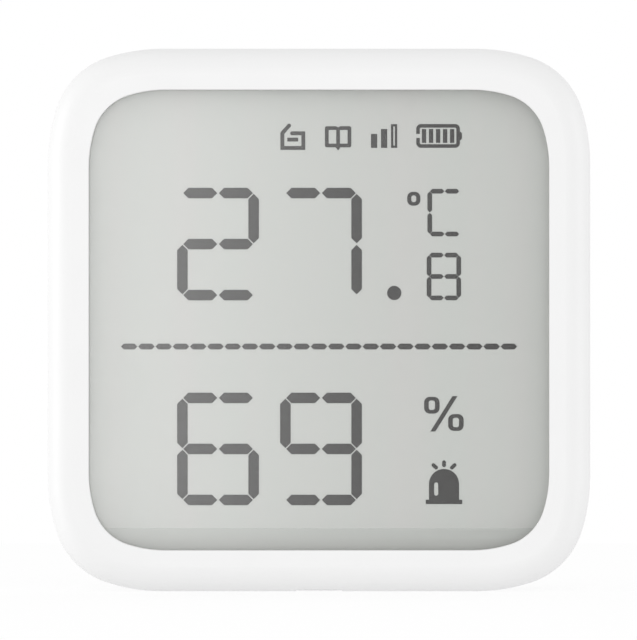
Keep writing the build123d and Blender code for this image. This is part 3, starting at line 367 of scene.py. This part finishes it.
def moulded(name, colour, roughness):
    """Moulded plastic with a fine spark-eroded grain, faint flow marks and slightly uneven gloss."""
    surface = Surface(name, colour, roughness, IOR=PLASTIC_IOR)
    surface.speckle(colour, PLASTIC_TINT, PLASTIC_TINT_SCALE)
    flow = surface.noise(PLASTIC_FLOW_SCALE, SLOW_DETAIL)
    surface.rough(flow, roughness - PLASTIC_GLOSS_SPREAD, roughness + PLASTIC_GLOSS_SPREAD)
    surface.bump(surface.noise(PLASTIC_GRAIN_SCALE, FINE_DETAIL), PLASTIC_GRAIN_DEPTH)
    return surface.bump(flow, PLASTIC_FLOW_DEPTH)


def metal(name, colour, roughness, streak=None):
    """Bare metal with drawn or rolled streaks and slightly uneven gloss."""
    surface = Surface(name, colour, roughness, Metallic=1.0)
    surface.speckle(colour, METAL_TINT, METAL_TINT_SCALE)
    streaks = surface.noise(STREAK_SCALE, stretch=streak)
    surface.rough(streaks, roughness - STREAK_SMOOTHER, roughness + STREAK_ROUGHER)
    return surface.bump(streaks, STREAK_DEPTH)


def speckled(name, colour, roughness, amount, scale, **values):
    """A plain surface whose colour varies slightly."""
    return Surface(name, colour, roughness, **values).speckle(colour, amount, scale)


def clear_skin(surface, tint, shine, roughness):
    """The shader of a clear sheet: it lets its tint through, and mirrors more at a glance than head on.

    Rays aren't bent on their way in, so its back face takes the same index of refraction as its front.
    """
    gloss = surface.add("ShaderNodeBsdfAnisotropic", Color=(1, 1, 1, 1))
    smudges = surface.noise(SMUDGE_SCALE)
    smudges = surface.remap(smudges, NOISE_RANGE, roughness - SMUDGE_SPREAD, roughness + SMUDGE_SPREAD)
    surface.feed(gloss.inputs["Roughness"], smudges)
    fresnel = surface.add("ShaderNodeFresnel")
    index = surface.maths("MULTIPLY_ADD", surface.back_face(), 1 / CLEAR_IOR - CLEAR_IOR, CLEAR_IOR)
    surface.feed(fresnel.inputs["IOR"], index)
    mirrored = surface.maths("MULTIPLY", fresnel.outputs[0], shine)
    through = surface.coloured("ShaderNodeBsdfTransparent", tint)
    surface.tree.nodes.remove(surface.shader)
    return surface.blend(mirrored, through, gloss.outputs[0])


def front_glass():
    """Glass that is clear over the display, with painted shade on the ledge below the film: a darker
    diffuse colour stands in for the shaded inside seen through the glass.
    """
    surface = Surface("display_glass")
    clear = clear_skin(surface, GLASS_TINT, INNER_SHINE, GLASS_ROUGHNESS)
    # painted shade: the ledge gets a darker diffuse colour for the shaded inside behind the glass
    painted_shade = surface.coloured("ShaderNodeBsdfDiffuse", LEDGE_PAINTED_SHADE)
    edge = (LEDGE_TOP - LEDGE_EDGE_BLUR, LEDGE_TOP + LEDGE_EDGE_BLUR)
    # the painted shade covers the glass below the film's edge and fades out across a narrow blur above it
    shade_cover = surface.remap(surface.axis(2), edge, LEDGE_SHADE_COVER, 0.0)
    return surface.show(surface.blend(shade_cover, clear, painted_shade))


def clear_sheet(name, tint, shine, roughness):
    """A clear sheet of one kind all over."""
    surface = Surface(name)
    return surface.show(clear_skin(surface, tint, shine, roughness))


def display_ground():
    """The pale ground of the display, with faint upright bands."""
    surface = Surface("display_ground", GROUND_GREEN, GROUND_ROUGHNESS, Specular_IOR_Level=0.0)
    bands = surface.noise(BAND_SCALE, SLOW_DETAIL, BAND_STRETCH)
    surface.colour(surface.mix(surface.remap(bands, BAND_RANGE), GROUND_GREEN, GROUND_RED))
    return surface.bump(surface.noise(GROUND_GRAIN_SCALE), GROUND_GRAIN_DEPTH)


def contact_rubber():
    """Rubber in thin dark and pale layers, side by side."""
    surface = Surface("contact_rubber", STRIP_DARK, STRIP_ROUGHNESS)
    layers = surface.add("ShaderNodeTexWave", Scale=STRIP_LAYER_SCALE)
    surface.feed(layers.inputs["Vector"], surface.place)
    surface.colour(surface.mix(layers.outputs["Fac"], STRIP_DARK, STRIP_PALE))
    return surface.bump(layers.outputs["Fac"], STRIP_LAYER_DEPTH)


def solder_resist():
    """Solder resist over the copper tracks of a circuit board."""
    surface = Surface("solder_resist", RESIST, RESIST_ROUGHNESS, Coat_Weight=RESIST_COAT)
    tracks = surface.add(
        "ShaderNodeTexBrick",
        Scale=TRACK_SCALE,
        Mortar_Size=TRACK_GAP,
        Brick_Width=TRACK_LENGTH,
        Row_Height=TRACK_WIDTH,
    )
    surface.feed(tracks.inputs["Vector"], surface.stretched(turn=(QUARTER_TURN, 0, 0)))
    surface.colour(surface.mix(tracks.outputs["Fac"], RESIST, RESIST_ON_COPPER))
    surface.bump(tracks.outputs["Fac"], TRACK_DEPTH)
    return surface.bump(surface.noise(BOARD_GRAIN_SCALE), BOARD_GRAIN_DEPTH)


def chip_ceramic():
    """The ceramic of small chips, tinned in places."""
    surface = Surface("chip_ceramic", CERAMIC, CERAMIC_ROUGHNESS)
    tinned = surface.remap(surface.noise(CERAMIC_SCALE), CERAMIC_RANGE)
    surface.colour(surface.mix(tinned, CERAMIC, TINNED))
    return surface.bump(surface.noise(CERAMIC_GRAIN_SCALE), CERAMIC_GRAIN_DEPTH)


def cell_jacket():
    """A plain blue sleeve with a pale ring near the positive end, and bare steel at both ends."""
    low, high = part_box("battery_cells")
    surface = Surface("cell_jacket", SLEEVE_BLUE, Coat_Weight=SLEEVE_COAT)
    upper = surface.maths("GREATER_THAN", surface.axis(2), (low[2] + high[2]) / 2)
    facing = surface.maths("MULTIPLY_ADD", upper, 2.0, -1.0)
    along = surface.maths("MULTIPLY", surface.axis(0), facing)
    ring = surface.maths("COMPARE", along, RING_PLACE, RING_HALF_WIDTH)
    positive = surface.maths("GREATER_THAN", along, SLEEVE_END_POSITIVE)
    negative = surface.maths("LESS_THAN", along, SLEEVE_END_NEGATIVE)
    bare = surface.maths("MAXIMUM", positive, negative)
    surface.colour(surface.mix(bare, surface.mix(ring, SLEEVE_BLUE, RING_PALE), END_STEEL))
    surface.feed(surface.shader.inputs["Metallic"], bare)
    surface.rough(surface.noise(SLEEVE_GLOSS_SCALE), *SLEEVE_ROUGHNESS)
    return surface.bump(surface.noise(SLEEVE_WAVE_SCALE), SLEEVE_WAVE_DEPTH)


def floor_material():
    """A light table: it passes the world's light from below, and shows white with the object's shadow.

    The camera looks through it from below.
    """
    surface = Surface("floor")
    below = surface.coloured("ShaderNodeBsdfTransparent", (1, 1, 1))
    white = surface.coloured("ShaderNodeBsdfDiffuse", FLOOR_WHITE)
    lighting = surface.blend(FLOOR_CLEARNESS, white, below)
    shown = surface.add("ShaderNodeAddShader")
    surface.feed(shown.inputs[0], surface.coloured("ShaderNodeBsdfDiffuse", FLOOR_SHADE))
    surface.feed(shown.inputs[1], surface.add("ShaderNodeEmission", Strength=FLOOR_GLOW).outputs[0])
    from_above = surface.blend(surface.seen(), lighting, shown.outputs[0])
    from_below = surface.maths("MULTIPLY", surface.back_face(), surface.camera_ray())
    return surface.show(surface.blend(from_below, from_above, below))


def add_floor():
    """A pale square just under the object."""
    half = FLOOR_SIZE / 2
    corners = [(side * end * half, end * half, -FLOOR_DROP) for end in (-1, 1) for side in (1, -1)]
    mesh = bpy.data.meshes.new("floor")
    mesh.from_pydata(corners, [], [(0, 1, 2, 3)])
    mesh.materials.append(floor_material().material)
    floor = bpy.data.objects.new("floor", mesh)
    bpy.context.scene.collection.objects.link(floor)


def add_lamp(name, place, aim, size, power):
    """A rectangular soft lamp that faces a point."""
    data = bpy.data.lights.new(name, "AREA")
    data.shape = "RECTANGLE"
    data.size, data.size_y = size
    data.energy = power
    light = bpy.data.objects.new(name, data)
    bpy.context.scene.collection.objects.link(light)
    light.location = place
    light.rotation_euler = (Vector(aim) - Vector(place)).to_track_quat("-Z", "Y").to_euler()


def add_world():
    """A plain level of light all round, which shows as white."""
    world = bpy.data.worlds.new("studio")
    bpy.context.scene.world = world
    world.use_nodes = True
    graph = Graph(world.node_tree)
    background = graph.tree.nodes["Background"]
    background.inputs["Color"].default_value = (1, 1, 1, 1)
    strength = graph.remap(graph.seen(), (0.0, 1.0), WORLD_LEVEL, SEEN_LEVEL)
    graph.feed(background.inputs["Strength"], strength)


def add_camera():
    """A camera straight in front of the face."""
    camera = bpy.data.objects.new("camera", bpy.data.cameras.new("camera"))
    bpy.context.scene.collection.objects.link(camera)
    bpy.context.scene.camera = camera
    camera.data.sensor_fit = "VERTICAL"
    camera.data.sensor_height = SENSOR_HEIGHT
    camera.data.lens = SENSOR_HEIGHT * CAMERA_DISTANCE / FRAME_HEIGHT
    camera.location = (CAMERA_AIM[0], BODY_EDGE_Y - CAMERA_DISTANCE, CAMERA_AIM[1])
    camera.rotation_euler = (QUARTER_TURN, 0, 0)


def add_closing_spring():
    """A copy of the tamper rod's spring, carried by the housing in place of its CAD node."""
    coils = bpy.data.objects.new("tamper_spring_coils", nodes["tamper_spring"].data.copy())
    bpy.context.scene.collection.objects.link(coils)
    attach(coils, "housing")
    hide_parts("tamper_spring")
    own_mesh(coils)


# Camera and light
bpy.context.scene.view_settings.view_transform = "Standard"
add_camera()
for lamp_name, lamp in LAMPS.items():
    add_lamp(lamp_name, **lamp)
add_world()
add_floor()

# Housing, door, bracket, buttons and display frame
housing = moulded("housing_plastic", WHITE, HOUSING_ROUGHNESS)
housing.put("front_housing", "rear_housing", "battery_door", "wall_bracket")
moulded("button_plastic", GREY, BUTTON_ROUGHNESS).put("enrol_button", "tamper_plunger")
moulded("frame_plastic", INNER_WHITE, FRAME_ROUGHNESS).put("display_frame")

# Clear sheets over the display: light passes them on its way to the display and back
clear_sheet("window_plastic", WINDOW_TINT, WINDOW_SHINE, WINDOW_ROUGHNESS).put("display_window")
clear_sheet("polarizer_film", FILM_TINT, INNER_SHINE, FILM_ROUGHNESS).put("front_polarizer")
front_glass().put("front_glass")
for sheet_name in ("display_window", "front_polarizer", "front_glass"):
    nodes[sheet_name].visible_shadow = False
    nodes[sheet_name].visible_diffuse = False

# Display
display_ground().put("rear_glass")
speckled("reflector_film", SILVER, roughness=0.45, amount=0.02, scale=3000.0, Metallic=0.3).put("reflector")
marks = speckled("display_mark", MARK, roughness=0.6, amount=0.1, scale=800.0, Specular_IOR_Level=0.1)
marks.put("temperature_digits", "humidity_digits", "unit_signs", "divider_dashes", "status_symbols")
speckled("cell_sealant", SEALANT, roughness=0.4, amount=0.05, scale=1500.0).put("cell_seal")
tape = speckled("foam_tape", TAPE, roughness=0.8, amount=0.03, scale=3000.0)
tape.bump(tape.cells(TAPE_PORE_SCALE), TAPE_PORE_DEPTH).put("window_adhesive")
contact_rubber().put("contact_strip")

# Circuit boards and what is on them
solder_resist().put("main_board", "radio_module")
resin = speckled("chip_resin", RESIN, roughness=0.6, amount=0.2, scale=2500.0)
resin.bump(resin.noise(RESIN_GRAIN_SCALE), RESIN_GRAIN_DEPTH)
resin.put("controller_chip", "climate_sensor", "tamper_switch", "enrol_switch")
chip_ceramic().put("surface_chips")
metal("can_steel", CAN_STEEL, roughness=0.34, streak=CAN_STREAK).put("radio_shield", "clock_crystal")
metal("antenna_bronze", BRONZE, roughness=0.32).put("antenna_coil")
metal("capacitor_can", ALUMINIUM, roughness=0.3, streak=CAPACITOR_STREAK).put("reservoir_capacitor")
metal("screw_steel", SCREW_STEEL, roughness=0.32, streak=SCREW_STREAK).put("board_screws")
membrane = speckled("woven_membrane", MEMBRANE, roughness=0.9, amount=0.04, scale=2000.0)
membrane.bump(membrane.cells(WEAVE_SCALE), WEAVE_DEPTH).put("inlet_membrane")

# Contacts, springs and cells
nickel = metal("contact_nickel", NICKEL, roughness=0.27, streak=NICKEL_STREAK)
nickel.put("bridge_contact", "positive_contact", "negative_contact", "tamper_spring")
add_closing_spring()
cell_jacket().put("battery_cells")
